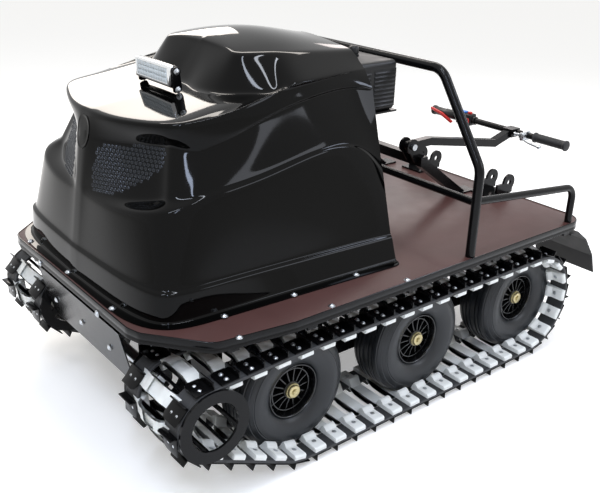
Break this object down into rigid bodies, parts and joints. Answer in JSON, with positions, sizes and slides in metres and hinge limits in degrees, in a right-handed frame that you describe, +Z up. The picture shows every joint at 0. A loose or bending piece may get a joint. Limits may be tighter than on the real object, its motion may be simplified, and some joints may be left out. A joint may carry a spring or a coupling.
{
  "type": "tracked snow tug",
  "caption": "Walk-behind tracked tug with a moulded engine hood, a plywood load deck, a roll arch, side rails and a tilting tiller, on rubber tracks over tyred wheels.",
  "frame": {"origin": "on the ground, under the middle of the vehicle's outline", "axes": "+X forward, +Y to the vehicle's left, +Z up"},
  "size_m": [1.658, 1.017, 1.032],
  "materials": {
    "black_gloss_paint": "gloss black paint",
    "track_rubber": "black reinforced rubber",
    "white_polymer": "off-white moulded polymer",
    "tyre_rubber": "ribbed tyre rubber",
    "black_plastic": "black moulded plastic",
    "zinc_steel": "zinc-plated steel",
    "faced_plywood": "film-faced brown plywood",
    "hood_plastic": "gloss black moulded shell",
    "lamp_lens": "clear moulded lens",
    "cast_metal": "engine castings",
    "black_rubber": "soft black rubber"
  },
  "bodies": {
    "vehicle": {"chassis_frame": "black_gloss_paint", "deck_board": "faced_plywood", "deck_rim": "black_gloss_paint", "drive_shaft": "zinc_steel", "engine_block": "cast_metal", "engine_cowl": "hood_plastic", "engine_top_plate": "black_gloss_paint", "front_guard": "black_gloss_paint", "fuel_cap": "hood_plastic", "hood_shell": "hood_plastic", "hub_caps": "zinc_steel", "lamp_bracket": "black_gloss_paint", "lamp_housing": "black_plastic", "lamp_lens": "lamp_lens", "left_drive_drum": "black_gloss_paint", "left_mud_flap": "black_rubber", "left_tow_clevis": "black_gloss_paint", "left_track_belts": "track_rubber", "left_track_saddles": "white_polymer", "left_tyres": "tyre_rubber", "left_wheel_rims": "black_plastic", "right_drive_drum": "black_gloss_paint", "right_mud_flap": "black_rubber", "right_tow_clevis": "black_gloss_paint", "right_track_belts": "track_rubber", "right_track_saddles": "white_polymer", "right_tyres": "tyre_rubber", "right_wheel_rims": "black_plastic", "roll_bar": "black_gloss_paint", "tiller_bolt": "zinc_steel", "tiller_stand": "black_gloss_paint", "wheel_axles": "zinc_steel"},
    "tiller": {"brake_clamp": "black_plastic", "brake_lever": "black_gloss_paint", "handlebar": "black_gloss_paint", "left_grip": "black_rubber", "throttle_grip": "black_rubber", "tiller_arm": "black_gloss_paint"}
  },
  "joints": [
    {"name": "tiller_tilt", "type": "hinge", "parent": "vehicle", "child": "tiller", "pos_m": [-0.288, 0.08, 0.628], "axis": [0, 1, 0], "range_deg": [0, 70]}
  ]
}
